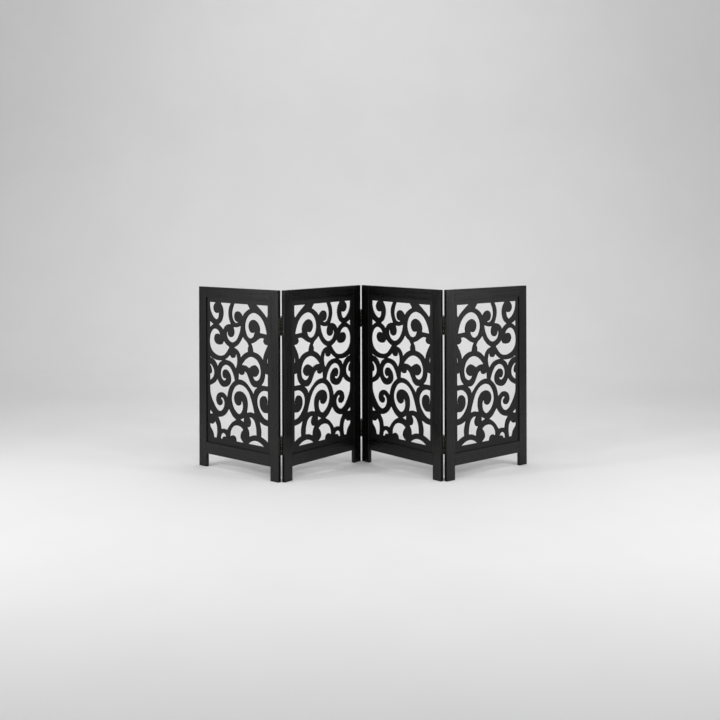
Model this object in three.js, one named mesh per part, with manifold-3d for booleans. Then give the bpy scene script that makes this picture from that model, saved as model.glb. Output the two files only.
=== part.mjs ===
// Four-panel folding fireplace screen, millimetres, +Z up, front towards -Y.
// Each panel is a grooved frame of two stiles and two rails around a thin fretwork board.
// Three upright folds join the panels, two butt hinges to a fold.
import * as THREE from 'three';
import Module from 'manifold-3d';

const wasm = await Module();
wasm.setup();

// ---------------------------------------------------------------- driving dimensions
const PANEL_W = 372;
const PANEL_H = 610;
const FRAME_T = 12;
const STILE_W = 36;
const TOP_RAIL_H = 35;
const BOTTOM_RAIL_H = 39;
const LEG_H = 45;
const ARRIS_R = 1.2;
const FIT_GAP = 0.3;

const FRET_T = 4;
const GROOVE_DEPTH = 8;
const FRET_SHIFT = 1;
const CURVE_TOLERANCE = 0.6;

const DOWEL_R = 3;
const DOWEL_LEN = 29;

const HINGE_HEIGHTS = { lower: 115, upper: 495 };
const KNUCKLE_LEN = 14.2;
const KNUCKLES = 4;
const BARREL_R = 2;
const BORE_R = 1.05;
const PIN_R = 0.95;
const PIN_TIP_R = 1.85;
const PIN_TOP_TIP = 5.2;
const PIN_FOOT_TIP = 1.8;
const LEAF_T = 0.8;
const LEAF_EDGE = 1.5;
const PIN_OUT = 1.1;
const PIN_PROUD = 1.3;

// Heading of each panel at rest, in degrees about +Z, first panel to last.
const PANEL_TURN = [-38.8, 49.4, -47.7, 37.8];

const BLACK = 0x1d1c1b;
const BRASS = 0x8a7440;
const BEECH = 0xb08a5a;

// ---------------------------------------------------------------- fretwork openings
// Each opening is a closed ring of runs, in mm across and up from the lower left of a panel.
// A run of one point is straight. A longer run is a smooth curve through its points.
// The last point of the last run is where the ring starts.
const OPENINGS = [
  [[[77, 559]], [[69, 550], [66.5, 540], [71, 529], [80, 523.5], [93.5, 524.5]],
    [[91, 511], [86, 504], [79, 502], [69, 506.5], [58, 517.5], [50, 533], [47, 546]], [[47, 559]]],
  [[[150, 559]], [[142, 543], [139.5, 527], [142, 510], [150, 490]],
    [[138, 489], [126, 484], [118, 476], [113, 467]], [[106, 475], [98, 481], [90, 485.5]],
    [[103, 495], [111, 510], [113.5, 527], [110, 543], [100, 559]]],
  [[[229, 559]], [[235, 552], [239.5, 545]], [[226, 538], [213, 528], [205.5, 517]],
    [[198, 527], [188, 533.5], [177, 533], [169, 526], [167, 515], [172, 503], [185, 497.5]],
    [[175, 495], [165, 499], [158, 509], [155, 523], [158, 541], [166, 559]]],
  [[[321, 559]], [[321, 530]], [[319, 523], [315, 519]], [[303, 531], [290, 542], [268, 559]]],
  [[[56, 491], [67, 485.5]], [[57, 480], [47, 472]], [[47, 497]]],
  [[[93, 463], [79, 470], [63, 467], [51, 453], [46, 433], [49, 410], [60, 394], [78, 384],
    [98, 381], [119, 386], [134, 400], [144, 413]], [[128, 422], [116, 433]],
  [[108, 421], [92, 418], [77, 423], [70, 437], [76, 451], [88, 454], [100, 450]]],
  [[[175, 480.5], [198, 486.5]], [[193, 466], [182, 445], [168, 433], [153, 430], [138, 437],
    [130, 450], [129.5, 461], [132.5, 465.5], [135, 463], [138, 453], [148, 446.5], [160, 450],
    [165.5, 463], [161, 482]]],
  [[[312, 485], [300, 509], [281, 526], [258, 532.5], [236, 525], [221, 507], [216, 485],
    [220, 466], [230, 452], [244, 449], [256, 456], [262, 470]],
  [[252, 467], [242, 470], [234, 486], [238, 501], [252, 510], [266, 507], [278, 497],
    [284, 482], [283, 469]], [[299, 467.5], [317, 466]]],
  [[[216, 443], [227, 435], [234.5, 424]], [[230.5, 415], [231, 405]],
    [[214, 397], [204, 389], [196, 381]], [[190, 396], [179, 407], [164, 412.5]],
    [[181, 422], [195, 436], [206, 453]]],
  [[[262, 438], [280, 449], [292, 453], [304, 452]], [[301, 443], [308, 434], [321, 431.5]],
    [[309, 411], [302, 395], [299, 380]], [[287, 393], [270, 402], [253.5, 405.5]],
    [[250, 420], [244, 431]]],
  [[[60, 371], [78, 366], [93, 365], [108, 365.5]], [[95, 357], [86, 341]],
    [[79, 354], [66, 366], [47, 372.5]], [[47, 377]]],
  [[[134, 378], [146, 389]], [[151, 381], [160, 378], [169, 381.5], [172, 391]], [[177, 391]],
    [[181, 375], [179.5, 358], [173, 342]], [[160, 358], [145, 366], [121, 370]]],
  [[[214, 374], [231, 385], [250, 388.5], [268, 383], [282, 369], [289, 346], [285, 324],
    [276, 315], [266, 312.5], [256, 317], [251, 327]],
  [[263, 325], [275, 333], [279.5, 345], [273, 357], [260, 363], [246, 358], [235, 350.5]],
  [[219, 357.5], [200, 359]]],
  [[[317.5, 389], [316, 380], [317.5, 371], [321, 363]], [[321, 397]]],
  [[[58, 346], [67, 335], [70, 322], [66, 309], [57, 300], [47, 294]], [[47, 315]],
    [[54, 319], [56, 328], [53, 339], [47, 347]], [[47, 353]]],
  [[[165, 318], [157, 334], [145, 347.5], [128, 352.5], [112, 347], [102, 334], [100, 320],
    [105, 306], [116, 299.5], [126, 304], [127, 309]],
  [[118, 307], [112, 313], [110, 324], [115, 334], [127, 337], [140, 329], [148, 316],
    [149, 302], [143, 289], [131, 281], [118, 278], [104, 281], [94, 290], [85, 304]],
  [[74, 291], [61, 283], [47, 277]],
  [[48, 254], [55, 235], [67, 216], [80, 201], [94, 195], [109, 201], [118.5, 216], [118.5, 231],
    [111, 241], [103, 242], [101, 237.5], [108, 230], [106, 219], [96, 214], [84, 220],
    [79, 233], [84, 249], [97, 258], [113, 258], [124, 251], [133, 243]],
  [[136, 260], [144, 280], [155, 293], [169.5, 305]]],
  [[[200, 309], [217, 303], [235, 289], [255.5, 267]], [[262, 282], [273, 291.5]],
    [[257, 292], [244, 301], [234, 318], [226, 332], [214, 341]],
    [[210, 329], [200, 325.5], [191, 329], [186, 333]], [[184, 310]]],
  [[[300, 312], [306, 329], [308, 345]], [[313, 339], [321, 338]], [[321, 300]], [[290, 300]]],
  [[[254, 227], [245, 251], [233, 273], [215, 288], [192, 293], [171, 285], [157, 265],
    [152, 243], [157, 222], [169, 205], [186, 195.5], [200, 203], [207, 220], [205, 236],
    [199, 243]],
  [[196, 229], [186, 223], [174, 227], [166, 241], [168, 257], [180, 269], [199, 270.5],
    [215, 262], [225, 246], [227, 226], [223, 204]], [[241, 207.5], [261, 205]]],
  [[[305, 284], [288, 278], [275, 264], [271, 246], [275, 228], [287, 209], [303, 195],
    [321, 190]], [[321, 214]],
  [[302, 214], [289, 225], [284, 240], [286, 256], [297, 266.5], [310, 265], [316.5, 253],
    [315, 243], [310, 235.5]], [[318, 242], [321, 253]], [[321, 283]]],
  [[[52, 193], [63, 184.5]], [[55, 182], [47, 181.5]], [[47, 203]]],
  [[[150, 196], [161, 184], [175, 175.5]], [[158, 166], [144, 153], [131, 135.5]],
    [[117, 138], [102, 136]], [[97, 157], [86, 174]], [[107, 178], [126, 190], [140, 209]]],
  [[[203, 182], [211, 187]], [[211, 171]], [[203, 174], [193, 177]]],
  [[[248, 190], [259, 182], [267, 163], [270, 136]], [[251, 133.5], [235, 126]],
    [[233, 142], [225.5, 156.5]], [[237, 160], [242, 171], [240, 182], [234, 190.5]]],
  [[[299, 175], [321, 171.5]], [[321, 118]], [[305, 127], [288, 133.5]],
    [[289, 152], [281, 184]]],
  [[[61, 148], [74, 159]], [[82, 145], [84, 125], [81, 103.5]], [[67, 103.5]],
    [[61, 121], [47, 138]], [[47, 150]]],
  [[[102, 116], [112, 123.5], [122, 121], [128, 111]], [[119, 113], [112, 110.5], [108, 103.5]],
    [[99, 103.5]]],
  [[[147, 133], [159, 150], [178, 157], [197, 154.5], [208, 147]],
    [[198, 134], [196, 119], [210, 103.5]], [[175, 103.5]],
    [[171, 116], [160, 122], [151, 119], [145, 113]]],
  [[[244, 112], [263, 117.5], [284, 114.5], [304, 103.5]], [[231, 103.5]]],
];

// ---------------------------------------------------------------- solids
function toSolid(geometry) {
  const bare = geometry.index ? geometry.toNonIndexed() : geometry.clone();
  bare.deleteAttribute('normal');
  bare.deleteAttribute('uv');
  const keys = new Map();
  const vertProperties = [];
  const triVerts = [];
  const position = bare.attributes.position;
  for (let i = 0; i < position.count; i += 1) {
    const p = [position.getX(i), position.getY(i), position.getZ(i)];
    const key = p.map((value) => Math.round(value * 1e4)).join(',');
    if (!keys.has(key)) {
      keys.set(key, vertProperties.length / 3);
      vertProperties.push(...p);
    }
    triVerts.push(keys.get(key));
  }
  return new wasm.Manifold(new wasm.Mesh({
    numProp: 3,
    vertProperties: Float32Array.from(vertProperties),
    triVerts: Uint32Array.from(triVerts),
  }));
}

function toGeometry(solid) {
  const mesh = solid.getMesh();
  const geometry = new THREE.BufferGeometry();
  geometry.setAttribute('position', new THREE.BufferAttribute(mesh.vertProperties, 3));
  geometry.setIndex(new THREE.BufferAttribute(mesh.triVerts, 1));
  return geometry;
}

function block(min, max) {
  const size = max.map((value, axis) => value - min[axis]);
  const geometry = new THREE.BoxGeometry(...size);
  geometry.translate(...min.map((value, axis) => value + size[axis] / 2));
  return geometry;
}

function rodAlongX(radius, x0, x1, y, z, sides = 12) {
  const geometry = new THREE.CylinderGeometry(radius, radius, x1 - x0, sides);
  geometry.rotateZ(Math.PI / 2);
  geometry.translate((x0 + x1) / 2, y, z);
  return geometry;
}

// A bar section with rounded arrises, drawn from (0, 0) to (a, b).
function barSection(a, b) {
  const r = ARRIS_R;
  const shape = new THREE.Shape();
  shape.moveTo(r, 0);
  shape.lineTo(a - r, 0);
  shape.absarc(a - r, r, r, -Math.PI / 2, 0);
  shape.lineTo(a, b - r);
  shape.absarc(a - r, b - r, r, 0, Math.PI / 2);
  shape.lineTo(r, b);
  shape.absarc(r, b - r, r, Math.PI / 2, Math.PI);
  shape.lineTo(0, r);
  shape.absarc(r, r, r, Math.PI, Math.PI * 1.5);
  return shape;
}

function extrude(shape, depth, curveSegments = 2) {
  return new THREE.ExtrudeGeometry(shape, { depth, bevelEnabled: false, curveSegments });
}

// ---------------------------------------------------------------- frame members
const GROOVE_Y0 = (FRAME_T - FRET_T) / 2 - FIT_GAP;
const GROOVE_Y1 = (FRAME_T + FRET_T) / 2 + FIT_GAP;
const BOTTOM_RAIL_TOP = LEG_H + BOTTOM_RAIL_H;
const TOP_RAIL_Z = PANEL_H - TOP_RAIL_H;
const GROOVE_Z0 = BOTTOM_RAIL_TOP - GROOVE_DEPTH - FIT_GAP;
const GROOVE_Z1 = TOP_RAIL_Z + GROOVE_DEPTH + FIT_GAP;
const DOWEL_Z = {
  bottom: (LEG_H + GROOVE_Z0) / 2,
  top: (PANEL_H + GROOVE_Z1) / 2,
};

function dowelHoles(xEdge) {
  const half = DOWEL_LEN / 2 + FIT_GAP;
  return Object.values(DOWEL_Z).map((z) => (
    rodAlongX(DOWEL_R + FIT_GAP, xEdge - half, xEdge + half, FRAME_T / 2, z)));
}

function stile(isLeft) {
  const x0 = isLeft ? 0 : PANEL_W - STILE_W;
  const innerEdge = isLeft ? STILE_W : PANEL_W - STILE_W;
  const bar = extrude(barSection(STILE_W, FRAME_T), PANEL_H);
  bar.translate(x0, 0, 0);
  const reach = GROOVE_DEPTH + FIT_GAP;
  const groove = block(
    [isLeft ? innerEdge - reach : innerEdge - 1, GROOVE_Y0, GROOVE_Z0],
    [isLeft ? innerEdge + 1 : innerEdge + reach, GROOVE_Y1, GROOVE_Z1],
  );
  let solid = toSolid(bar).subtract(toSolid(groove));
  for (const hole of dowelHoles(innerEdge)) {
    solid = solid.subtract(toSolid(hole));
  }
  return toGeometry(solid);
}

function rail(isTop) {
  const z0 = isTop ? TOP_RAIL_Z : LEG_H;
  const height = isTop ? TOP_RAIL_H : BOTTOM_RAIL_H;
  const x0 = STILE_W + FIT_GAP;
  const length = PANEL_W - 2 * x0;
  const bar = extrude(barSection(FRAME_T, height), length);
  const yzx = new THREE.Matrix4().makeBasis(
    new THREE.Vector3(0, 1, 0),
    new THREE.Vector3(0, 0, 1),
    new THREE.Vector3(1, 0, 0),
  );
  bar.applyMatrix4(yzx);
  bar.translate(x0, 0, z0);
  const groove = block(
    [x0 - 1, GROOVE_Y0, isTop ? z0 - 1 : GROOVE_Z0],
    [x0 + length + 1, GROOVE_Y1, isTop ? GROOVE_Z1 : z0 + height + 1],
  );
  let solid = toSolid(bar).subtract(toSolid(groove));
  for (const hole of [...dowelHoles(STILE_W), ...dowelHoles(PANEL_W - STILE_W)]) {
    solid = solid.subtract(toSolid(hole));
  }
  return toGeometry(solid);
}

function dowel(xEdge, z) {
  return rodAlongX(DOWEL_R, xEdge - DOWEL_LEN / 2, xEdge + DOWEL_LEN / 2, FRAME_T / 2, z);
}

// ---------------------------------------------------------------- fretwork board
// Splits a curve in halves until each chord lies within the tolerance.
function flatten(curve, t0, t1, out) {
  const a = curve.getPoint(t0);
  const b = curve.getPoint(t1);
  const chord = new THREE.Line3(a, b);
  let error = 0;
  for (const share of [0.25, 0.5, 0.75]) {
    const p = curve.getPoint(t0 + (t1 - t0) * share);
    error = Math.max(error, p.distanceTo(chord.closestPointToPoint(p, true, new THREE.Vector3())));
  }
  if (error < CURVE_TOLERANCE) {
    out.push(b);
    return;
  }
  const middle = (t0 + t1) / 2;
  flatten(curve, t0, middle, out);
  flatten(curve, middle, t1, out);
}

function openingPoints(opening, mirrored) {
  const place = ([x, z]) => {
    const across = x + FRET_SHIFT;
    return new THREE.Vector3(mirrored ? PANEL_W - across : across, z, 0);
  };
  const lastRun = opening[opening.length - 1];
  let corner = place(lastRun[lastRun.length - 1]);
  const points = [];
  for (const run of opening) {
    const knots = [corner, ...run.map(place)];
    corner = knots[knots.length - 1];
    if (knots.length === 2) {
      points.push(corner);
    } else {
      const curve = new THREE.CatmullRomCurve3(knots, false, 'centripetal');
      for (let i = 0; i + 1 < knots.length; i += 1) {
        const share = 1 / (knots.length - 1);
        flatten(curve, i * share, (i + 1) * share, points);
      }
    }
  }
  return points.map((p) => new THREE.Vector2(p.x, p.y));
}

// The board is a plain plate with every opening cut right through it.
function fret(mirrored) {
  const x0 = STILE_W - GROOVE_DEPTH + FIT_GAP;
  const y0 = (FRAME_T - FRET_T) / 2;
  const board = block(
    [x0, y0, GROOVE_Z0 + FIT_GAP],
    [PANEL_W - x0, y0 + FRET_T, GROOVE_Z1 - FIT_GAP],
  );
  const xzy = new THREE.Matrix4().makeBasis(
    new THREE.Vector3(1, 0, 0),
    new THREE.Vector3(0, 0, 1),
    new THREE.Vector3(0, -1, 0),
  );
  let solid = toSolid(board);
  for (const opening of OPENINGS) {
    const cutter = extrude(new THREE.Shape(openingPoints(opening, mirrored)), FRAME_T);
    cutter.applyMatrix4(xzy);
    cutter.translate(0, FRAME_T, 0);
    solid = solid.subtract(toSolid(cutter));
  }
  return toGeometry(solid);
}

// ---------------------------------------------------------------- hinges
// end: 1 for the right edge of a panel, -1 for the left. atBack: the pin stands behind the frame.
function pinPlace(end, atBack) {
  return {
    x: end > 0 ? PANEL_W + PIN_OUT : -PIN_OUT,
    y: atBack ? FRAME_T + PIN_PROUD : -PIN_PROUD,
  };
}

function hingeLeaf(end, atBack, firstKnuckle, zMiddle) {
  const pin = pinPlace(end, atBack);
  const edge = end > 0 ? PANEL_W : 0;
  const xs = [edge + end * 0.1, edge + end * (0.1 + LEAF_T)].sort((a, b) => a - b);
  const face = atBack ? FRAME_T : 0;
  const inward = atBack ? -1 : 1;
  const zBase = zMiddle - (KNUCKLES * KNUCKLE_LEN) / 2;
  const ySpan = (a, b) => [a, b].sort((p, q) => p - q);
  const barrelEdge = pin.y + inward * (BARREL_R + FIT_GAP);
  const plateY = ySpan(FRAME_T - face + inward * -LEAF_EDGE, barrelEdge);
  let solid = toSolid(block(
    [xs[0], plateY[0], zBase],
    [xs[1], plateY[1], zBase + KNUCKLES * KNUCKLE_LEN],
  ));
  for (let k = firstKnuckle; k < KNUCKLES; k += 2) {
    const z0 = zBase + k * KNUCKLE_LEN + FIT_GAP / 2;
    const height = KNUCKLE_LEN - FIT_GAP;
    const tabY = ySpan(face + inward * 2, pin.y + inward * (BORE_R + 0.15));
    const tab = block([xs[0], tabY[0], z0], [xs[1], tabY[1], z0 + height]);
    const ring = new THREE.Shape();
    ring.absarc(0, 0, BARREL_R, 0, Math.PI * 2);
    const bore = new THREE.Path();
    bore.absarc(0, 0, BORE_R, 0, Math.PI * 2, true);
    ring.holes.push(bore);
    const tube = extrude(ring, height, 6);
    tube.translate(pin.x, pin.y, z0);
    solid = solid.add(toSolid(tab)).add(toSolid(tube));
  }
  return toGeometry(solid);
}

function hingePin(end, atBack, zMiddle) {
  const pin = pinPlace(end, atBack);
  const half = (KNUCKLES * KNUCKLE_LEN) / 2 + FIT_GAP / 2;
  const upper = [
    [PIN_R, half],
    [PIN_TIP_R, half],
    [PIN_TIP_R, half + PIN_TOP_TIP - 1.4],
    [PIN_TIP_R * 0.75, half + PIN_TOP_TIP - 0.5],
    [0, half + PIN_TOP_TIP],
  ];
  const lower = [
    [0, -half - PIN_FOOT_TIP],
    [PIN_TIP_R * 0.75, -half - PIN_FOOT_TIP + 0.4],
    [PIN_TIP_R, -half - 0.8],
    [PIN_TIP_R, -half],
    [PIN_R, -half],
  ];
  const profile = [...lower, ...upper].map(([r, z]) => new THREE.Vector2(r, z));
  const geometry = new THREE.LatheGeometry(profile, 12);
  geometry.rotateX(Math.PI / 2);
  geometry.translate(pin.x, pin.y, zMiddle);
  return toGeometry(toSolid(geometry));
}

// ---------------------------------------------------------------- assembly
function addPiece(group, name, geometry, colour, metalness = 0) {
  const flat = geometry.index ? geometry.toNonIndexed() : geometry;
  flat.computeVertexNormals();
  const material = new THREE.MeshStandardMaterial({ color: colour, roughness: 0.5, metalness });
  const mesh = new THREE.Mesh(flat, material);
  mesh.name = name;
  group.add(mesh);
}

function fillPanel(group, name, mirrored) {
  addPiece(group, `${name}_left_stile`, stile(true), BLACK);
  addPiece(group, `${name}_right_stile`, stile(false), BLACK);
  addPiece(group, `${name}_top_rail`, rail(true), BLACK);
  addPiece(group, `${name}_bottom_rail`, rail(false), BLACK);
  addPiece(group, `${name}_fret`, fret(mirrored), BLACK);
  for (const [level, z] of Object.entries(DOWEL_Z)) {
    addPiece(group, `${name}_${level}_left_dowel`, dowel(STILE_W, z), BEECH);
    addPiece(group, `${name}_${level}_right_dowel`, dowel(PANEL_W - STILE_W, z), BEECH);
  }
}

// The pin of a fold, seen from the panel on either side of it.
const FOLDS = [
  { name: 'fold_1_2', panels: [0, 1], atBack: true, pinPanel: 1 },
  { name: 'fold_2_3', panels: [1, 2], atBack: false, pinPanel: 1 },
  { name: 'fold_3_4', panels: [2, 3], atBack: true, pinPanel: 2 },
];

const screen = new THREE.Group();
screen.name = 'fireplace_screen';
const panels = PANEL_TURN.map((turn, i) => {
  const group = new THREE.Group();
  group.name = `panel_${i + 1}`;
  group.rotation.z = THREE.MathUtils.degToRad(turn);
  fillPanel(group, group.name, i % 2 === 1);
  screen.add(group);
  return group;
});

for (const fold of FOLDS) {
  const [a, b] = fold.panels.map((i) => panels[i]);
  const atA = pinPlace(1, fold.atBack);
  const atB = pinPlace(-1, fold.atBack);
  const onA = new THREE.Vector3(atA.x, atA.y, 0).applyEuler(a.rotation).add(a.position);
  const onB = new THREE.Vector3(atB.x, atB.y, 0).applyEuler(b.rotation);
  b.position.copy(onA.sub(onB));
  for (const [level, z] of Object.entries(HINGE_HEIGHTS)) {
    const leafA = hingeLeaf(1, fold.atBack, fold.atBack ? 1 : 0, z);
    const leafB = hingeLeaf(-1, fold.atBack, fold.atBack ? 0 : 1, z);
    addPiece(a, `${fold.name}_${level}_leaf_a`, leafA, BRASS, 0.9);
    addPiece(b, `${fold.name}_${level}_leaf_b`, leafB, BRASS, 0.9);
    const end = fold.pinPanel === fold.panels[0] ? 1 : -1;
    const pinGroup = panels[fold.pinPanel];
    addPiece(pinGroup, `${fold.name}_${level}_pin`, hingePin(end, fold.atBack, z), BRASS, 0.9);
  }
}

// The footprint is centred on the origin.
screen.updateMatrixWorld(true);
const centre = new THREE.Box3().setFromObject(screen, true).getCenter(new THREE.Vector3());
screen.position.set(-centre.x, -centre.y, 0);

export default screen;
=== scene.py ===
import math

import bmesh
import bpy
from mathutils import Matrix, Vector


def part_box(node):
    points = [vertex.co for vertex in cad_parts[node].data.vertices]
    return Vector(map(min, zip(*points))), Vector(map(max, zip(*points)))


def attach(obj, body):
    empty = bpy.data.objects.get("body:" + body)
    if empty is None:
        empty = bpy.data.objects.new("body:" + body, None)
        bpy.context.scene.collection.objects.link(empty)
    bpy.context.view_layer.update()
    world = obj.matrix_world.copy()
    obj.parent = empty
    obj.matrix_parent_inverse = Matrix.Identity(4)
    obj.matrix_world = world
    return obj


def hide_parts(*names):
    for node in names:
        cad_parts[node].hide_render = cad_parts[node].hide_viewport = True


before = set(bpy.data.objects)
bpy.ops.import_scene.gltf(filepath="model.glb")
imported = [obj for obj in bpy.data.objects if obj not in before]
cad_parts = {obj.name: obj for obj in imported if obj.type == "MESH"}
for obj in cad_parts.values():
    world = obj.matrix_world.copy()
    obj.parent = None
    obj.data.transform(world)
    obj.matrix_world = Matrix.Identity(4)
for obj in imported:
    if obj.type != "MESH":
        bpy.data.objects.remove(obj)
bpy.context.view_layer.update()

# ---------------------------------------------------------------- sizes, in metres
MM = 0.001
PANEL_W = 372 * MM
PANEL_H = 610 * MM
FRAME_T = 12 * MM
STILE_W = 36 * MM
TOP_RAIL_H = 35 * MM
BOTTOM_RAIL_H = 39 * MM
LEG_H = 45 * MM
ARRIS_R = 1.2 * MM
ARRIS_STEPS = 4
EASE = 0.5 * MM
JOINT_GAP = 0.08 * MM
WELD = 0.002 * MM
FRET_WELD = 0.005 * MM
SQUARE = 0.9999

FRET_T = 4 * MM
FRET_EASE = 0.35 * MM
FRET_SHIFT = 1  # mm, like the points of OPENINGS
CURVE_STEP = 1.4  # mm
GROOVE_T = 4.5 * MM
GROOVE_DEPTH = 8.3 * MM
FRET_IN_GROOVE = 7.6 * MM

PIN_OUT = 1.1 * MM
PIN_PROUD = 1.3 * MM
BARREL_R = 2.0 * MM
BORE_R = 1.05 * MM
PIN_R = 0.95 * MM
LEAF_T = 0.8 * MM
LEAF_STANDOFF = 0.1 * MM
LEAF_EDGE = 1.5 * MM
LEAF_EASE = 0.12 * MM
LEAF_CORNER_R = 0.9 * MM
LEAF_CLEAR = 0.3 * MM
KNUCKLE = 14.2 * MM
KNUCKLES = 4
KNUCKLE_GAP = 0.3 * MM
HINGE_HALF = KNUCKLE * KNUCKLES / 2
KNUCKLE_HALF = (KNUCKLE - KNUCKLE_GAP) / 2
KNUCKLE_EASE = 0.22 * MM
TAB_INSET = 0.02 * MM
TAB_LAP = 0.2 * MM
PIN_TOP_TIP = 5.2 * MM
PIN_FOOT_TIP = 1.8 * MM
PIN_SHOULDER = 0.15 * MM
SCREW_HEAD_R = 2.3 * MM
SCREW_SPREAD = 17.5 * MM
SCREW_SUNK = 0.1 * MM
SINK_R = SCREW_HEAD_R + 0.1 * MM

PANELS = ("panel_1", "panel_2", "panel_3", "panel_4")
# fold, panel before, panel after, is the pin behind the frame, panel that keeps the pin
FOLDS = (
    ("fold_1_2", "panel_1", "panel_2", True, "panel_2"),
    ("fold_2_3", "panel_2", "panel_3", False, "panel_2"),
    ("fold_3_4", "panel_3", "panel_4", True, "panel_3"),
)

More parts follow.
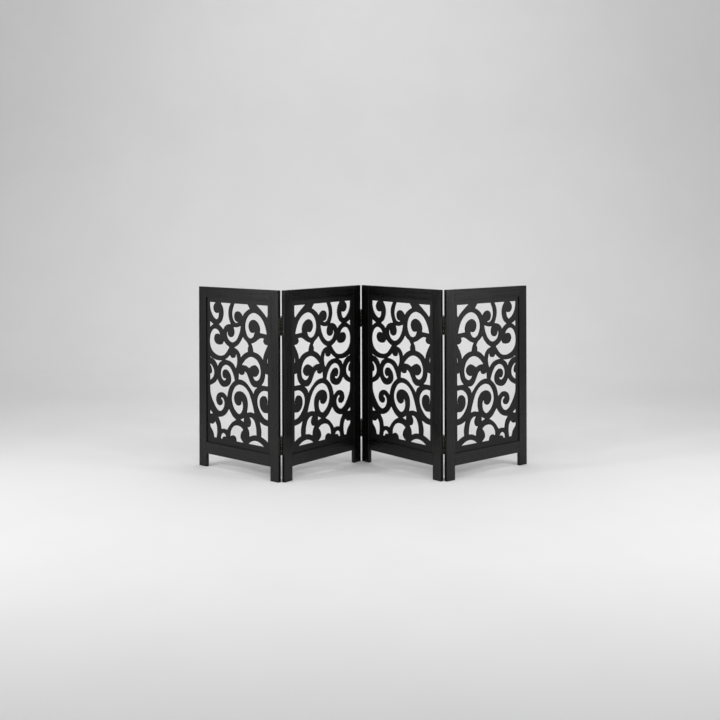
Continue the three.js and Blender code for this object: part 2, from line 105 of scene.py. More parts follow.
# Each opening of the fretwork is a closed ring of runs, in mm across and up from the lower
# left of a panel. A run of one point is straight, a longer one is a smooth curve through its
# points, and the last point of the last run is where the ring starts.
OPENINGS = [
    [[(77, 559)], [(69, 550), (66.5, 540), (71, 529), (80, 523.5), (93.5, 524.5)],
     [(91, 511), (86, 504), (79, 502), (69, 506.5), (58, 517.5), (50, 533), (47, 546)],
     [(47, 559)]],
    [[(150, 559)], [(142, 543), (139.5, 527), (142, 510), (150, 490)],
     [(138, 489), (126, 484), (118, 476), (113, 467)], [(106, 475), (98, 481), (90, 485.5)],
     [(103, 495), (111, 510), (113.5, 527), (110, 543), (100, 559)]],
    [[(229, 559)], [(235, 552), (239.5, 545)], [(226, 538), (213, 528), (205.5, 517)],
     [(198, 527), (188, 533.5), (177, 533), (169, 526), (167, 515), (172, 503), (185, 497.5)],
     [(175, 495), (165, 499), (158, 509), (155, 523), (158, 541), (166, 559)]],
    [[(321, 559)], [(321, 530)], [(319, 523), (315, 519)], [(303, 531), (290, 542), (268, 559)]],
    [[(56, 491), (67, 485.5)], [(57, 480), (47, 472)], [(47, 497)]],
    [[(93, 463), (79, 470), (63, 467), (51, 453), (46, 433), (49, 410), (60, 394), (78, 384),
      (98, 381), (119, 386), (134, 400), (144, 413)], [(128, 422), (116, 433)],
     [(108, 421), (92, 418), (77, 423), (70, 437), (76, 451), (88, 454), (100, 450)]],
    [[(175, 480.5), (198, 486.5)], [(193, 466), (182, 445), (168, 433), (153, 430), (138, 437),
      (130, 450), (129.5, 461), (132.5, 465.5), (135, 463), (138, 453), (148, 446.5),
      (160, 450), (165.5, 463), (161, 482)]],
    [[(312, 485), (300, 509), (281, 526), (258, 532.5), (236, 525), (221, 507), (216, 485),
      (220, 466), (230, 452), (244, 449), (256, 456), (262, 470)],
     [(252, 467), (242, 470), (234, 486), (238, 501), (252, 510), (266, 507), (278, 497),
      (284, 482), (283, 469)], [(299, 467.5), (317, 466)]],
    [[(216, 443), (227, 435), (234.5, 424)], [(230.5, 415), (231, 405)],
     [(214, 397), (204, 389), (196, 381)], [(190, 396), (179, 407), (164, 412.5)],
     [(181, 422), (195, 436), (206, 453)]],
    [[(262, 438), (280, 449), (292, 453), (304, 452)], [(301, 443), (308, 434), (321, 431.5)],
     [(309, 411), (302, 395), (299, 380)], [(287, 393), (270, 402), (253.5, 405.5)],
     [(250, 420), (244, 431)]],
    [[(60, 371), (78, 366), (93, 365), (108, 365.5)], [(95, 357), (86, 341)],
     [(79, 354), (66, 366), (47, 372.5)], [(47, 377)]],
    [[(134, 378), (146, 389)], [(151, 381), (160, 378), (169, 381.5), (172, 391)],
     [(177, 391)], [(181, 375), (179.5, 358), (173, 342)], [(160, 358), (145, 366), (121, 370)]],
    [[(214, 374), (231, 385), (250, 388.5), (268, 383), (282, 369), (289, 346), (285, 324),
      (276, 315), (266, 312.5), (256, 317), (251, 327)],
     [(263, 325), (275, 333), (279.5, 345), (273, 357), (260, 363), (246, 358), (235, 350.5)],
     [(219, 357.5), (200, 359)]],
    [[(317.5, 389), (316, 380), (317.5, 371), (321, 363)], [(321, 397)]],
    [[(58, 346), (67, 335), (70, 322), (66, 309), (57, 300), (47, 294)], [(47, 315)],
     [(54, 319), (56, 328), (53, 339), (47, 347)], [(47, 353)]],
    [[(165, 318), (157, 334), (145, 347.5), (128, 352.5), (112, 347), (102, 334), (100, 320),
      (105, 306), (116, 299.5), (126, 304), (127, 309)],
     [(118, 307), (112, 313), (110, 324), (115, 334), (127, 337), (140, 329), (148, 316),
      (149, 302), (143, 289), (131, 281), (118, 278), (104, 281), (94, 290), (85, 304)],
     [(74, 291), (61, 283), (47, 277)],
     [(48, 254), (55, 235), (67, 216), (80, 201), (94, 195), (109, 201), (118.5, 216),
      (118.5, 231), (111, 241), (103, 242), (101, 237.5), (108, 230), (106, 219), (96, 214),
      (84, 220), (79, 233), (84, 249), (97, 258), (113, 258), (124, 251), (133, 243)],
     [(136, 260), (144, 280), (155, 293), (169.5, 305)]],
    [[(200, 309), (217, 303), (235, 289), (255.5, 267)], [(262, 282), (273, 291.5)],
     [(257, 292), (244, 301), (234, 318), (226, 332), (214, 341)],
     [(210, 329), (200, 325.5), (191, 329), (186, 333)], [(184, 310)]],
    [[(300, 312), (306, 329), (308, 345)], [(313, 339), (321, 338)], [(321, 300)],
     [(290, 300)]],
    [[(254, 227), (245, 251), (233, 273), (215, 288), (192, 293), (171, 285), (157, 265),
      (152, 243), (157, 222), (169, 205), (186, 195.5), (200, 203), (207, 220), (205, 236),
      (199, 243)],
     [(196, 229), (186, 223), (174, 227), (166, 241), (168, 257), (180, 269), (199, 270.5),
      (215, 262), (225, 246), (227, 226), (223, 204)], [(241, 207.5), (261, 205)]],
    [[(305, 284), (288, 278), (275, 264), (271, 246), (275, 228), (287, 209), (303, 195),
      (321, 190)], [(321, 214)],
     [(302, 214), (289, 225), (284, 240), (286, 256), (297, 266.5), (310, 265), (316.5, 253),
      (315, 243), (310, 235.5)], [(318, 242), (321, 253)], [(321, 283)]],
    [[(52, 193), (63, 184.5)], [(55, 182), (47, 181.5)], [(47, 203)]],
    [[(150, 196), (161, 184), (175, 175.5)], [(158, 166), (144, 153), (131, 135.5)],
     [(117, 138), (102, 136)], [(97, 157), (86, 174)], [(107, 178), (126, 190), (140, 209)]],
    [[(203, 182), (211, 187)], [(211, 171)], [(203, 174), (193, 177)]],
    [[(248, 190), (259, 182), (267, 163), (270, 136)], [(251, 133.5), (235, 126)],
     [(233, 142), (225.5, 156.5)], [(237, 160), (242, 171), (240, 182), (234, 190.5)]],
    [[(299, 175), (321, 171.5)], [(321, 118)], [(305, 127), (288, 133.5)],
     [(289, 152), (281, 184)]],
    [[(61, 148), (74, 159)], [(82, 145), (84, 125), (81, 103.5)], [(67, 103.5)],
     [(61, 121), (47, 138)], [(47, 150)]],
    [[(102, 116), (112, 123.5), (122, 121), (128, 111)], [(119, 113), (112, 110.5), (108, 103.5)],
     [(99, 103.5)]],
    [[(147, 133), (159, 150), (178, 157), (197, 154.5), (208, 147)],
     [(198, 134), (196, 119), (210, 103.5)], [(175, 103.5)],
     [(171, 116), (160, 122), (151, 119), (145, 113)]],
    [[(244, 112), (263, 117.5), (284, 114.5), (304, 103.5)], [(231, 103.5)]],
]


# ---------------------------------------------------------------- shader helpers
class Nodes:
    """A material's node tree, with short calls for the nodes that the finishes share."""

    def __init__(self, name):
        self.material = bpy.data.materials.new(name)
        self.material.use_nodes = True
        self.tree = self.material.node_tree
        self.tree.nodes.clear()
        self.output = self.add("ShaderNodeOutputMaterial")
        self.shader = self.add("ShaderNodeBsdfPrincipled")
        self.link(self.shader.outputs["BSDF"], self.output.inputs["Surface"])

    def add(self, kind, **settings):
        node = self.tree.nodes.new(kind)
        for key, value in settings.items():
            setattr(node, key, value)
        return node

    def link(self, start, end):
        self.tree.links.new(start, end)

    def coordinates(self, scale):
        source = self.add("ShaderNodeTexCoord")
        mapping = self.add("ShaderNodeMapping")
        mapping.inputs["Scale"].default_value = scale
        self.link(source.outputs["Object"], mapping.inputs["Vector"])
        return mapping.outputs["Vector"]

    def noise(self, vector, scale=1.0, detail=3.0, roughness=0.55):
        node = self.add("ShaderNodeTexNoise")
        node.inputs["Scale"].default_value = scale
        node.inputs["Detail"].default_value = detail
        node.inputs["Roughness"].default_value = roughness
        self.link(vector, node.inputs["Vector"])
        return node.outputs["Fac"]

    def ramp(self, fac, *stops):
        node = self.add("ShaderNodeValToRGB")
        elements = node.color_ramp.elements
        while len(elements) < len(stops):
            elements.new(0.5)
        for element, (position, colour) in zip(elements, stops):
            element.position = position
            element.color = (*colour, 1.0)
        self.link(fac, node.inputs["Fac"])
        return node.outputs["Color"]

    def spread(self, value, low, high, start=0.0, end=1.0):
        node = self.add("ShaderNodeMapRange")
        node.inputs["From Min"].default_value = start
        node.inputs["From Max"].default_value = end
        node.inputs["To Min"].default_value = low
        node.inputs["To Max"].default_value = high
        self.link(value, node.inputs["Value"])
        return node.outputs["Result"]

    def mix(self, fac, a, b):
        node = self.add("ShaderNodeMix", data_type="RGBA")
        for socket, value in ((0, fac), (6, a), (7, b)):
            if isinstance(value, (int, float, tuple)):
                node.inputs[socket].default_value = value
            else:
                self.link(value, node.inputs[socket])
        return node.outputs[2]

    def math(self, operation, a, b):
        node = self.add("ShaderNodeMath", operation=operation)
        for socket, value in enumerate((a, b)):
            if isinstance(value, (int, float)):
                node.inputs[socket].default_value = value
            else:
                self.link(value, node.inputs[socket])
        return node.outputs[0]

    def bump(self, height, strength, distance, normal=None):
        node = self.add("ShaderNodeBump")
        node.inputs["Strength"].default_value = strength
        node.inputs["Distance"].default_value = distance
        self.link(height, node.inputs["Height"])
        if normal is not None:
            self.link(normal, node.inputs["Normal"])
        return node.outputs["Normal"]

    def attribute(self, name):
        return self.add("ShaderNodeAttribute", attribute_name=name).outputs["Fac"]

    def distance_along(self, axis):
        split = self.add("ShaderNodeSeparateXYZ")
        self.link(self.coordinates((1, 1, 1)), split.inputs[0])
        return self.math("ABSOLUTE", split.outputs[axis], 0.0)

    def set(self, **values):
        for key, value in values.items():
            socket = self.shader.inputs[key.replace("_", " ")]
            if isinstance(value, (int, float, tuple)):
                socket.default_value = value
            else:
                self.link(value, socket)
        return self.material


def painted_wood(name, along):
    """Satin black paint brushed over solid wood. along is 0, 1 or 2, the axis of the grain."""
    n = Nodes(name)
    stretch = [1.0, 1.0, 1.0]
    stretch[along] = 0.035
    grain = n.noise(n.coordinates([420 * s for s in stretch]), detail=4.0)
    streaks = n.noise(n.coordinates([150 * s for s in stretch]), detail=3.0)
    clouds = n.noise(n.coordinates((9, 9, 9)), detail=2.0)
    dust = n.noise(n.coordinates((2600, 2600, 2600)), detail=1.0)
    tone = n.ramp(streaks, (0.3, (0.0008, 0.0008, 0.0008)), (0.72, (0.0022, 0.0022, 0.0021)))
    tone = n.mix(n.spread(grain, 0.0, 0.5, 0.4, 0.75), tone, (0.004, 0.004, 0.0038, 1.0))
    # the arrises turn lighter and browner in patches: partly rubbed paint, partly a painted
    # highlight along the edges
    wear_and_highlight = n.math("MULTIPLY", n.attribute("edge"), n.spread(clouds, 0.1, 0.9, 0.35, 0.65))
    wear_and_highlight = n.math("MULTIPLY", wear_and_highlight, n.spread(grain, 0.3, 1.0, 0.35, 0.6))
    tone = n.mix(wear_and_highlight, tone, (0.02, 0.018, 0.016, 1.0))
    gloss = n.math("ADD", n.spread(grain, -0.06, 0.06), n.spread(clouds, 0.26, 0.34, 0.3, 0.7))
    gloss = n.math("ADD", gloss, n.spread(streaks, 0.07, -0.07, 0.3, 0.7))
    gloss = n.math("ADD", gloss, n.spread(dust, -0.02, 0.02))
    gloss = n.math("SUBTRACT", gloss, n.math("MULTIPLY", wear_and_highlight, 0.08))
    normal = n.bump(streaks, 0.3, 0.0002)
    normal = n.bump(grain, 0.35, 0.00012, normal)
    normal = n.bump(dust, 0.12, 0.00003, normal)
    return n.set(
        Base_Color=tone, Roughness=gloss, Normal=normal, Specular_IOR_Level=0.33,
    )


def painted_board(name):
    """Flat black sprayed over cut fibreboard: a fine even tooth and soft cloudy tone."""
    n = Nodes(name)
    tooth = n.noise(n.coordinates((1500, 1500, 1500)), detail=2.0)
    clouds = n.noise(n.coordinates((26, 26, 26)), detail=3.0)
    tone = n.ramp(clouds, (0.3, (0.0015, 0.0015, 0.0015)), (0.7, (0.0035, 0.0035, 0.0033)))
    tone = n.mix(n.spread(tooth, 0.0, 0.4, 0.4, 0.8), tone, (0.006, 0.006, 0.0057, 1.0))
    gloss = n.math("ADD", n.spread(clouds, 0.46, 0.56, 0.3, 0.7), n.spread(tooth, -0.05, 0.05))
    return n.set(
        Base_Color=tone, Roughness=gloss, Normal=n.bump(tooth, 0.3, 0.00005),
        Specular_IOR_Level=0.29,
    )


def aged_brass(name, with_painted_shade=False):
    """Dull brass. For a leaf, the part beyond its knuckles can be blackened in patches: painted
    shade for the slit between two frames.
    """
    n = Nodes(name)
    patches = n.noise(n.coordinates((240, 240, 240)), detail=4.0)
    scratches = n.noise(n.coordinates((3200, 3200, 260)), detail=2.0)
    tone = n.ramp(
        patches,
        (0.42, (0.01, 0.0095, 0.0075)),
        (0.5, (0.07, 0.068, 0.05)),
        (0.62, (0.3, 0.29, 0.215)),
    )
    gloss = n.math(
        "ADD", n.spread(patches, 0.5, 0.26, 0.35, 0.7), n.spread(scratches, -0.06, 0.06))
    metal = 1.0
    # painted shade: the leaf plate inside the slit between two frames is blackened in patches
    if with_painted_shade:
        painted = n.spread(n.distance_along("Y"), 0.0, 1.0, 2.2 * MM, 2.6 * MM)
        patchy_shade = n.math("MULTIPLY", painted, n.spread(patches, 0.55, 1.0, 0.3, 0.45))
        tone = n.mix(patchy_shade, tone, (0.003, 0.003, 0.0028, 1.0))
        metal = n.math("SUBTRACT", 1.0, patchy_shade)
    return n.set(
        Base_Color=tone, Roughness=gloss, Metallic=metal,
        Normal=n.bump(scratches, 0.2, 0.00004),
    )


def bare_beech(name):
    n = Nodes(name)
    rings = n.noise(n.coordinates((60, 900, 900)), detail=3.0)
    flecks = n.noise(n.coordinates((250, 2400, 2400)), detail=1.0)
    tone = n.ramp(rings, (0.3, (0.42, 0.27, 0.15)), (0.7, (0.6, 0.43, 0.26)))
    tone = n.mix(n.spread(flecks, 0.0, 0.5, 0.55, 0.8), tone, (0.3, 0.17, 0.09, 1.0))
    return n.set(
        Base_Color=tone, Roughness=n.spread(rings, 0.55, 0.7), Normal=n.bump(rings, 0.3, 0.0001))


PAINT_UPRIGHT = painted_wood("black_paint_upright", 2)
PAINT_LEVEL = painted_wood("black_paint_level", 0)
PAINT_BOARD = painted_board("black_paint_board")
BRASS = aged_brass("aged_brass")
# the leaves carry painted shade beyond their knuckles
LEAF_BRASS = aged_brass("aged_brass_leaf", with_painted_shade=True)
BEECH = bare_beech("bare_beech")


# ---------------------------------------------------------------- mesh helpers
def smooth(mesh, degrees):
    """Rounds the shading, but a face square to an axis stays flat right up to its arrises."""
    mesh.set_sharp_from_angle(angle=math.radians(degrees))
    rounded = [max(abs(c) for c in face.normal) < SQUARE for face in mesh.polygons]
    mesh.polygons.foreach_set("use_smooth", rounded)
    mesh.update()


def mesh_from(bm, name, degrees=32):
    bmesh.ops.recalc_face_normals(bm, faces=bm.faces)
    mesh = bpy.data.meshes.new(name)
    bm.to_mesh(mesh)
    bm.free()
    smooth(mesh, degrees)
    return mesh


def loft(rings, name):
    """A closed skin through rings of equal length, capped at both ends."""
    bm = bmesh.new()
    made = [[bm.verts.new(p) for p in ring] for ring in rings]
    for a, b in zip(made, made[1:]):
        for i in range(len(a)):
            j = (i + 1) % len(a)
            bm.faces.new((a[i], a[j], b[j], b[i]))
    bm.faces.new(list(reversed(made[0])))
    bm.faces.new(made[-1])
    bmesh.ops.remove_doubles(bm, verts=bm.verts, dist=WELD)
    bmesh.ops.dissolve_degenerate(bm, edges=bm.edges, dist=WELD)
    return mesh_from(bm, name)


def bar_section(width, thickness, groove, shrink):
    """Half-sizes about the centre, arrises rounded, with a groove mouth on the +width side."""
    a, b, r = width / 2 - shrink, thickness / 2 - shrink, ARRIS_R - shrink * 0.5
    points = []

    def corner(cx, cy, start):
        for k in range(ARRIS_STEPS + 1):
            angle = math.radians(start + 90 * k / ARRIS_STEPS)
            points.append((cx + r * math.cos(angle), cy + r * math.sin(angle)))

    corner(a - r, -b + r, -90)
    mouth = GROOVE_T / 2
    points.extend([(a, -mouth), (a - groove, -mouth), (a - groove, mouth), (a, mouth)])
    corner(a - r, b - r, 0)
    corner(-a + r, b - r, 90)
    corner(-a + r, -b + r, 180)
    return points


def mark_edges(mesh, axis, half):
    """Stores on each vertex how near it is to the middle of a rounded arris, 0 to 1."""
    edge = mesh.attributes.new("edge", "FLOAT", "POINT")
    for vert, value in zip(mesh.vertices, edge.data):
        across = abs(vert.co[axis]) - (half - ARRIS_R)
        through = abs(vert.co.y) - (FRAME_T / 2 - ARRIS_R)
        value.value = min(1.0, max(0.0, min(across, through) / (0.7 * ARRIS_R)))
    return mesh


def make(name, mesh, material, placement, body, replaced=()):
    obj = bpy.data.objects.new(name, mesh)
    bpy.context.scene.collection.objects.link(obj)
    if not mesh.materials:
        mesh.materials.append(material)
    obj.matrix_world = placement
    bpy.context.view_layer.update()
    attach(obj, body)
    if replaced:
        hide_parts(*replaced)
    return obj


def evaluated(obj, name):
    """The object's mesh with its modifiers applied, as new data. The object is removed."""
    graph = bpy.context.evaluated_depsgraph_get()
    mesh = bpy.data.meshes.new_from_object(obj.evaluated_get(graph), depsgraph=graph)
    mesh.name = name
    bpy.data.objects.remove(obj)
    return mesh


def loose(name, data):
    obj = bpy.data.objects.new(name, data)
    bpy.context.scene.collection.objects.link(obj)
    return obj


def combined(name, base, others, operation):
    """Joins or cuts closed meshes exactly, and returns the result as one mesh."""
    obj = loose(name, base)
    cutters = [loose(f"{name}_{i}", other) for i, other in enumerate(others)]
    for cutter in cutters:
        step = obj.modifiers.new("step", "BOOLEAN")
        step.operation = operation
        step.solver = "EXACT"
        step.object = cutter
    bpy.context.view_layer.update()
    mesh = evaluated(obj, name)
    for cutter in cutters:
        bpy.data.objects.remove(cutter)
    return mesh


# ---------------------------------------------------------------- where the panels stand
def middle(node):
    lo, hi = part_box(node)
    return (Vector(lo) + Vector(hi)) / 2


def panel_placement(panel):
    """Panel axes at rest: x across from its left edge, y from its front to its back, z up."""
    left = middle(f"{panel}_left_stile")
    across = middle(f"{panel}_right_stile") - left
    across.z = 0.0
    across.normalize()
    back = Vector((-across.y, across.x, 0.0))
    origin = left - across * STILE_W / 2 - back * FRAME_T / 2
    origin.z = 0.0
    placement = Matrix.Identity(4)
    for column, axis in enumerate((across, back, Vector((0, 0, 1)), origin)):
        for row in range(3):
            placement[row][column] = axis[row]
    return placement


PLACE = {panel: panel_placement(panel) for panel in PANELS}


# ---------------------------------------------------------------- frame members
def stile_mesh(side):
    """side is 1 for a stile whose groove faces +x, -1 for the other."""
    z0 = LEG_H + BOTTOM_RAIL_H - GROOVE_DEPTH
    z1 = PANEL_H - TOP_RAIL_H + GROOVE_DEPTH
    levels = (
        (0, 0.0, EASE), (EASE, 0.0, 0.0), (z0, 0.0, 0.0), (z0, GROOVE_DEPTH, 0.0),
        (z1, GROOVE_DEPTH, 0.0), (z1, 0.0, 0.0), (PANEL_H - EASE, 0.0, 0.0), (PANEL_H, 0.0, EASE),
    )
    rings = []
    for z, groove, shrink in levels:
        section = bar_section(STILE_W, FRAME_T, groove, shrink)
        rings.append([(side * x, y, z) for x, y in section])
    mesh = loft(rings, f"stile_{'left' if side > 0 else 'right'}")
    return mark_edges(mesh, 0, STILE_W / 2)


def rail_mesh(height, up, name):
    """up is 1 for a rail whose groove faces up, -1 for one whose groove faces down."""
    half = PANEL_W / 2 - STILE_W - JOINT_GAP
    ends = ((-half, EASE * 0.6), (-half + EASE, 0.0), (half - EASE, 0.0), (half, EASE * 0.6))
    rings = []
    for x, shrink in ends:
        section = bar_section(height, FRAME_T, GROOVE_DEPTH, shrink)
        rings.append([(x, b, up * a) for a, b in section])
    return mark_edges(loft(rings, name), 2, height / 2)


def catmull(points, step):
    """Centripetal Catmull-Rom curve through points, as a list that leaves out the first."""
    first = (2 * points[0][0] - points[1][0], 2 * points[0][1] - points[1][1])
    last = (2 * points[-1][0] - points[-2][0], 2 * points[-1][1] - points[-2][1])
    p = [Vector(q) for q in (first, *points, last)]
    out = []
    for a, b, c, d in zip(p, p[1:], p[2:], p[3:]):
        t1 = math.sqrt((b - a).length)
        t2 = t1 + math.sqrt((c - b).length)
        t3 = t2 + math.sqrt((d - c).length)
        count = max(2, round((c - b).length / step))
        for k in range(1, count + 1):
            t = t1 + (t2 - t1) * k / count
            ab = a.lerp(b, t / t1)
            bc = b.lerp(c, (t - t1) / (t2 - t1))
            cd = c.lerp(d, (t - t2) / (t3 - t2))
            abc = ab.lerp(bc, t / t2)
            bcd = bc.lerp(cd, (t - t1) / (t3 - t1))
            out.append(abc.lerp(bcd, (t - t1) / (t2 - t1)))
    return out


def opening_ring(opening, mirrored):
    def place(point):
        across = (point[0] + FRET_SHIFT) * MM
        return (PANEL_W - across if mirrored else across, point[1] * MM)

    corner = opening[-1][-1]
    ring = []
    for run in opening:
        knots = [corner, *run]
        corner = knots[-1]
        ring.extend([corner] if len(knots) == 2 else catmull(knots, CURVE_STEP))
    return [place(point) for point in ring]


def fret_mesh(mirrored):
    """The board between its grooves, every opening cut through, all edges a little eased."""
    x0 = STILE_W - FRET_IN_GROOVE
    x1 = PANEL_W - x0
    z0 = LEG_H + BOTTOM_RAIL_H - FRET_IN_GROOVE
    z1 = PANEL_H - TOP_RAIL_H + FRET_IN_GROOVE
    outline = [(x0, z0), (x1, z0), (x1, z1), (x0, z1)]
    data = bpy.data.curves.new("fret", "CURVE")
    data.dimensions = "2D"
    data.fill_mode = "BOTH"
    data.extrude = FRET_T / 2 - FRET_EASE
    data.bevel_depth = FRET_EASE
    data.bevel_resolution = 1
    data.offset = -FRET_EASE
    for ring in (outline, *(opening_ring(opening, mirrored) for opening in OPENINGS)):
        spline = data.splines.new("POLY")
        spline.points.add(len(ring) - 1)
        for point, (x, z) in zip(spline.points, ring):
            point.co = (x, z, 0.0, 1.0)
        spline.use_cyclic_u = True
    mesh = evaluated(loose("fret_curve", data), f"fret_{'b' if mirrored else 'a'}")
    bm = bmesh.new()
    bm.from_mesh(mesh)
    bmesh.ops.remove_doubles(bm, verts=bm.verts, dist=FRET_WELD)
    bmesh.ops.transform(bm, matrix=Matrix.Rotation(math.pi / 2, 4, "X"), verts=bm.verts)
    return mesh_from(bm, mesh.name, 50)


FRETS = {False: fret_mesh(False), True: fret_mesh(True)}
STILES = {1: stile_mesh(1), -1: stile_mesh(-1)}
RAILS = {
    "top": rail_mesh(TOP_RAIL_H, -1, "rail_top"),
    "bottom": rail_mesh(BOTTOM_RAIL_H, 1, "rail_bottom"),
}


def shifted(panel, x, y, z):
    return PLACE[panel] @ Matrix.Translation((x, y, z))


for number, panel in enumerate(PANELS):
    for side, word, x in ((1, "left", STILE_W / 2), (-1, "right", PANEL_W - STILE_W / 2)):
        make(f"{panel}_{word}_stile_painted", STILES[side], PAINT_UPRIGHT,
             shifted(panel, x, FRAME_T / 2, 0), panel,
             (f"{panel}_{word}_stile",))
    for word, z in (
        ("top", PANEL_H - TOP_RAIL_H / 2),
        ("bottom", LEG_H + BOTTOM_RAIL_H / 2),
    ):
        make(f"{panel}_{word}_rail_painted", RAILS[word], PAINT_LEVEL,
             shifted(panel, PANEL_W / 2, FRAME_T / 2, z), panel,
             (f"{panel}_{word}_rail",))
    make(f"{panel}_fret_painted", FRETS[number % 2 == 1], PAINT_BOARD,
         shifted(panel, 0, FRAME_T / 2, 0), panel, (f"{panel}_fret",))


# ---------------------------------------------------------------- hinges
def turned(profile, steps, name, degrees=40):
    """A closed solid turned about z, from a profile of (radius, height) that starts and ends
    on the axis, or that closes on itself to leave a bore."""
    bm = bmesh.new()
    rings = []
    for radius, z in profile:
        if radius < 0.000001:
            rings.append([bm.verts.new((0, 0, z))] * steps)
            continue
        rings.append([
            bm.verts.new((radius * math.cos(2 * math.pi * k / steps),
                          radius * math.sin(2 * math.pi * k / steps), z))
            for k in range(steps)
        ])
    hollow = profile[0][0] > 0.000001
    pairs = list(zip(rings, rings[1:]))
    if hollow:
        pairs.append((rings[-1], rings[0]))
    for a, b in pairs:
        for k in range(steps):
            j = (k + 1) % steps
            corners = []
            for vert in (a[k], a[j], b[j], b[k]):
                if vert not in corners:
                    corners.append(vert)
            if len(corners) > 2:
                bm.faces.new(corners)
    return mesh_from(bm, name, degrees)


def knuckle_mesh(name):
    return turned([
        (BORE_R, -KNUCKLE_HALF), (BARREL_R - KNUCKLE_EASE, -KNUCKLE_HALF),
        (BARREL_R, -KNUCKLE_HALF + KNUCKLE_EASE), (BARREL_R, KNUCKLE_HALF - KNUCKLE_EASE),
        (BARREL_R - KNUCKLE_EASE, KNUCKLE_HALF), (BORE_R, KNUCKLE_HALF),
    ], 40, name)


def block_mesh(name, lo, hi, ease=0.0, rounded_x=0.0):
    """A block between two corners. rounded_x rounds the four edges that run along x."""
    bm = bmesh.new()
    bmesh.ops.create_cube(bm, size=1.0)
    for vert in bm.verts:
        vert.co = Vector(
            lo[i] + (vert.co[i] + 0.5) * (hi[i] - lo[i]) for i in range(3))
    if rounded_x:
        along = [e for e in bm.edges
                 if abs(e.verts[0].co.x - e.verts[1].co.x) > abs(hi[0] - lo[0]) * 0.9]
        bmesh.ops.bevel(bm, geom=along, offset=rounded_x, segments=4, profile=0.5,
                        affect="EDGES")
    if ease:
        bmesh.ops.bevel(bm, geom=list(bm.edges), offset=ease, segments=2, profile=0.5,
                        affect="EDGES", clamp_overlap=True)
    return mesh_from(bm, name)


def quarter_turn(end):
    """Turns +z to point along the panel's x axis, towards the side that end names."""
    return Matrix.Rotation(end * math.pi / 2, 4, "Y")


def leaf_sinks(end, x, y):
    """Countersinks at the two screw places of a leaf whose wood side is at x."""
    sinks = []
    for z in (-SCREW_SPREAD, SCREW_SPREAD):
        sink = turned([(0, -0.2 * MM), (1.2 * MM, -0.2 * MM), (SINK_R, 0.95 * MM),
                       (SINK_R, 2 * MM), (0, 2 * MM)], 28, "sink")
        sink.transform(Matrix.Translation((x, y, z)) @ quarter_turn(end))
        sinks.append(sink)
    return sinks


def leaf_knuckles(x0, x1, face, inward, first):
    """Every second knuckle from number first, each with the tab that ties it to its plate."""
    added = []
    y0, y1 = sorted((face + inward * 2 * MM, inward * (BORE_R + TAB_LAP)))
    for k in range(first, KNUCKLES, 2):
        z = -HINGE_HALF + (k + 0.5) * KNUCKLE
        added.append(block_mesh("tab", (x0 + TAB_INSET, y0, z - KNUCKLE_HALF),
                                (x1 - TAB_INSET, y1, z + KNUCKLE_HALF)))
        knuckle = knuckle_mesh("knuckle")
        knuckle.transform(Matrix.Translation((0, 0, z)))
        added.append(knuckle)
    return added


def leaf_mesh(end, at_back, first):
    """A leaf with its knuckles, about the pin's axis at the hinge's middle height.

    end is 1 for the leaf on the right edge of a panel and -1 for the one on a left edge.
    """
    pin_x = PIN_OUT * end
    inward = -1 if at_back else 1
    wood_x = end * LEAF_STANDOFF - pin_x
    x0, x1 = sorted((wood_x, end * (LEAF_STANDOFF + LEAF_T) - pin_x))
    face = inward * PIN_PROUD
    y0, y1 = sorted((face + inward * (FRAME_T - LEAF_EDGE), inward * (BARREL_R + LEAF_CLEAR)))
    plate = block_mesh("plate", (x0, y0, -HINGE_HALF), (x1, y1, HINGE_HALF),
                       ease=LEAF_EASE, rounded_x=LEAF_CORNER_R)
    sinks = leaf_sinks(end, wood_x, (y0 + y1) / 2)
    plate = combined("plate_cut", plate, sinks, "DIFFERENCE")
    word = f"leaf_{'back' if at_back else 'front'}_{'a' if end > 0 else 'b'}"
    mesh = combined(word, plate, leaf_knuckles(x0, x1, face, inward, first), "UNION")
    smooth(mesh, 34)
    return mesh


def pin_mesh():
    """The pin about its middle height, with a turned finial above and a plain tip below."""
    reach = HINGE_HALF + PIN_SHOULDER
    top, foot = reach + PIN_TOP_TIP, -reach - PIN_FOOT_TIP
    upper = [
        (PIN_R, reach), (1.7 * MM, reach), (1.85 * MM, reach + 0.2 * MM),
        (1.85 * MM, reach + 1.1 * MM), (1.3 * MM, reach + 1.5 * MM),
        (1.25 * MM, reach + 1.9 * MM), (1.7 * MM, reach + 2.6 * MM),
        (1.85 * MM, reach + 3.4 * MM), (1.65 * MM, top - 0.9 * MM),
        (1.15 * MM, top - 0.3 * MM), (0.6 * MM, top - 0.06 * MM), (0, top),
    ]
    lower = [
        (0, foot), (0.9 * MM, foot + 0.08 * MM), (1.5 * MM, foot + 0.5 * MM),
        (1.7 * MM, foot + 1.1 * MM), (1.7 * MM, -reach), (PIN_R, -reach),
    ]
    return turned(lower + upper, 28, "pin", 45)


def screw_mesh():
    """A countersunk screw, head up along z, with a cross recess."""
    head = turned([
        (0, -6 * MM), (0.5 * MM, -5.4 * MM), (1.05 * MM, -4.2 * MM), (1.05 * MM, -1.05 * MM),
        (SCREW_HEAD_R, -0.12 * MM), (SCREW_HEAD_R - 0.1 * MM, 0), (0, 0.16 * MM),
    ], 32, "screw_head")
    arm, wide, deep = 1.25 * MM, 0.26 * MM, 0.75 * MM
    slots = [
        block_mesh("slot_a", (-arm, -wide, -deep), (arm, wide, MM)),
        block_mesh("slot_b", (-wide, -arm, -deep), (wide, arm, MM)),
    ]
    mesh = combined("screw", head, slots, "DIFFERENCE")
    smooth(mesh, 34)
    return mesh


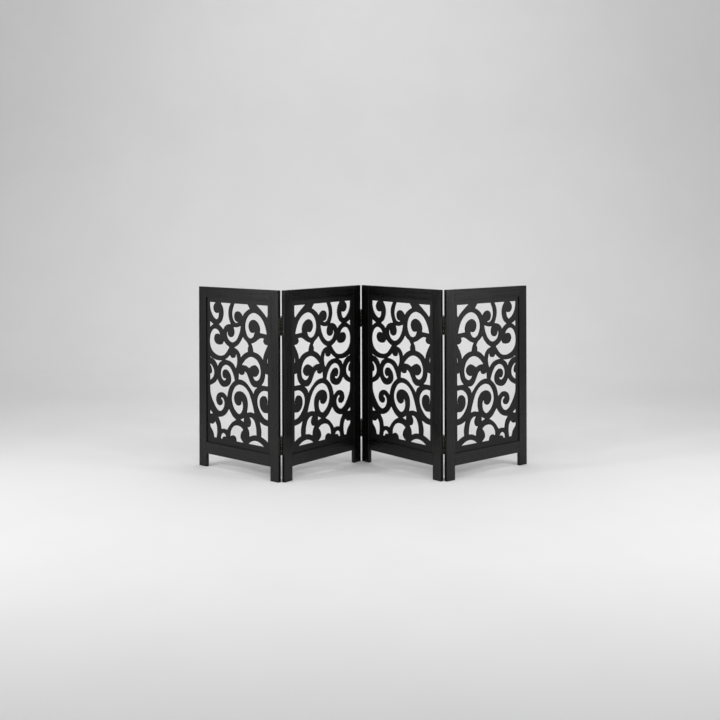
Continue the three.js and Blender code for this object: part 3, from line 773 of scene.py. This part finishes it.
PIN = pin_mesh()
SCREW = screw_mesh()
for fold, before, after, at_back, keeper in FOLDS:
    leaf_a = leaf_mesh(1, at_back, 1 if at_back else 0)
    leaf_b = leaf_mesh(-1, at_back, 0 if at_back else 1)
    pin_y = FRAME_T + PIN_PROUD if at_back else -PIN_PROUD
    face = FRAME_T if at_back else 0.0
    inward = -1 if at_back else 1
    for level in ("lower", "upper"):
        z = middle(f"{fold}_{level}_leaf_a").z
        sides = ((before, leaf_a, 1, PANEL_W, "a"), (after, leaf_b, -1, 0.0, "b"))
        for panel, mesh, end, edge, word in sides:
            pin_at = (edge + end * PIN_OUT, pin_y, z)
            make(f"{fold}_{level}_leaf_{word}_brass", mesh, LEAF_BRASS, shifted(panel, *pin_at),
                 panel, (f"{fold}_{level}_leaf_{word}",))
            if panel == keeper:
                make(f"{fold}_{level}_pin_brass", PIN, BRASS, shifted(panel, *pin_at),
                     panel, (f"{fold}_{level}_pin",))
            screw_y = face + inward * (FRAME_T - LEAF_EDGE + LEAF_CLEAR) / 2
            screw_x = edge + end * (LEAF_STANDOFF + LEAF_T - SCREW_SUNK)
            for count, dz in enumerate((-SCREW_SPREAD, SCREW_SPREAD)):
                # every screw was tightened until its cross stopped at another angle
                stop = 0.5 + 0.9 * count + 0.6 * (level == "upper")
                twist = Matrix.Rotation(stop, 4, "Z")
                make(f"{fold}_{level}_screw_{word}{count + 1}", SCREW, BRASS,
                     shifted(panel, screw_x, screw_y, z + dz) @ quarter_turn(end) @ twist,
                     panel)

# ---------------------------------------------------------------- CAD nodes that stay
for name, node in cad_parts.items():
    if "dowel" in name:
        node.data.materials.clear()
        node.data.materials.append(BEECH)


# ---------------------------------------------------------------- studio
def backdrop():
    """A floor that sweeps up into a wall behind."""
    near, start, radius, top, wide, steps = -9.0, 1.5, 1.5, 7.0, 14.0, 24
    profile = [(near, 0.0), (start, 0.0)]
    profile += [
        (start + radius * math.sin(a), radius * (1 - math.cos(a)))
        for a in (math.pi / 2 * k / steps for k in range(1, steps + 1))
    ]
    profile.append((start + radius, top))
    bm = bmesh.new()
    columns = [[bm.verts.new((x, y, z)) for y, z in profile] for x in (-wide / 2, wide / 2)]
    for i in range(len(profile) - 1):
        bm.faces.new((columns[0][i], columns[1][i], columns[1][i + 1], columns[0][i + 1]))
    mesh = mesh_from(bm, "backdrop", 60)
    obj = bpy.data.objects.new("backdrop", mesh)
    bpy.context.scene.collection.objects.link(obj)
    n = Nodes("pale_backdrop")
    grain = n.noise(n.coordinates((3, 3, 3)), detail=2.0)
    tone = n.ramp(grain, (0.3, (0.80, 0.80, 0.80)), (0.7, (0.82, 0.82, 0.82)))
    mesh.materials.append(n.set(Base_Color=tone, Roughness=0.85))


def place_lamp(data, location, target):
    obj = bpy.data.objects.new(data.name, data)
    bpy.context.scene.collection.objects.link(obj)
    obj.location = location
    aim = Vector(target) - Vector(location)
    obj.rotation_euler = aim.to_track_quat("-Z", "Y").to_euler()


def softbox(name, location, target, size, power):
    data = bpy.data.lights.new(name, "AREA")
    data.shape = "RECTANGLE"
    data.size, data.size_y = size
    data.energy = power
    place_lamp(data, location, target)


def spotlight(name, location, target, radius, degrees, power):
    data = bpy.data.lights.new(name, "SPOT")
    data.shadow_soft_size = radius
    data.energy = power
    data.spot_size = math.radians(degrees)
    data.spot_blend = 1.0
    place_lamp(data, location, target)


SPOT_R, SPOT_CONE = 0.12, 65
RIM_R, RIM_CONE, RIM_POWER = 0.3, 22, 70
SKY_STRENGTH = 0.49

backdrop()
softbox("overhead", (0.0, -0.7, 1.6), (0.0, -0.7, 0.0), (4.4, 0.3), 11)
softbox("wall_wash", (0.0, 0.2, 4.0), (0.0, 3.0, 1.2), (6.0, 0.8), 30)
spotlight("wall_spot", (0.0, -0.5, 3.2), (0.0, 3.0, 1.0), 0.4, 75, 120)
for side, word, key_power, fill_power in ((-1, "left", 68, 62), (1, "right", 56, 75)):
    softbox(f"{word}_low", (side * 2.6, -0.7, 1.0), (0.0, -0.1, 0.3), (0.8, 1.2), 1)
    spotlight(f"key_{word}", (side * 2.7, -1.25, 1.85), (side * 0.4, -0.1, 0.0),
              SPOT_R, SPOT_CONE, key_power)
    spotlight(f"fill_{word}", (side * 2.7, -2.2, 2.2), (side * 0.3, -0.1, 0.0),
              SPOT_R, SPOT_CONE, fill_power)
    spotlight(f"rim_{word}", (side * 2.6, -1.1, 0.8), (side * 0.27, -0.13, 0.6),
              RIM_R, RIM_CONE, RIM_POWER)

world = bpy.data.worlds.new("studio")
world.use_nodes = True
sky = world.node_tree.nodes["Background"]
sky.inputs["Color"].default_value = (1.0, 1.0, 1.0, 1.0)
sky.inputs["Strength"].default_value = SKY_STRENGTH
bpy.context.scene.world = world
bpy.context.scene.view_settings.view_transform = "Standard"

# ---------------------------------------------------------------- camera
CAMERA_BACK = 3.183
CAMERA_SIDE = -0.0088
CAMERA_UP = 0.8046
FOCAL = 47.88
SHIFT_DOWN = -0.182
ROLL = math.radians(-0.15)

camera_data = bpy.data.cameras.new("camera")
camera_data.sensor_width = 36.0
camera_data.lens = FOCAL
camera_data.shift_y = SHIFT_DOWN
camera_data.clip_start = 0.05
camera_data.clip_end = 60.0
camera = bpy.data.objects.new("camera", camera_data)
bpy.context.scene.collection.objects.link(camera)
camera.location = (CAMERA_SIDE, -CAMERA_BACK, CAMERA_UP)
camera.rotation_euler = (Matrix.Rotation(math.pi / 2, 3, "X")
                         @ Matrix.Rotation(ROLL, 3, "Z")).to_euler()
bpy.context.scene.camera = camera

bpy.context.view_layer.update()
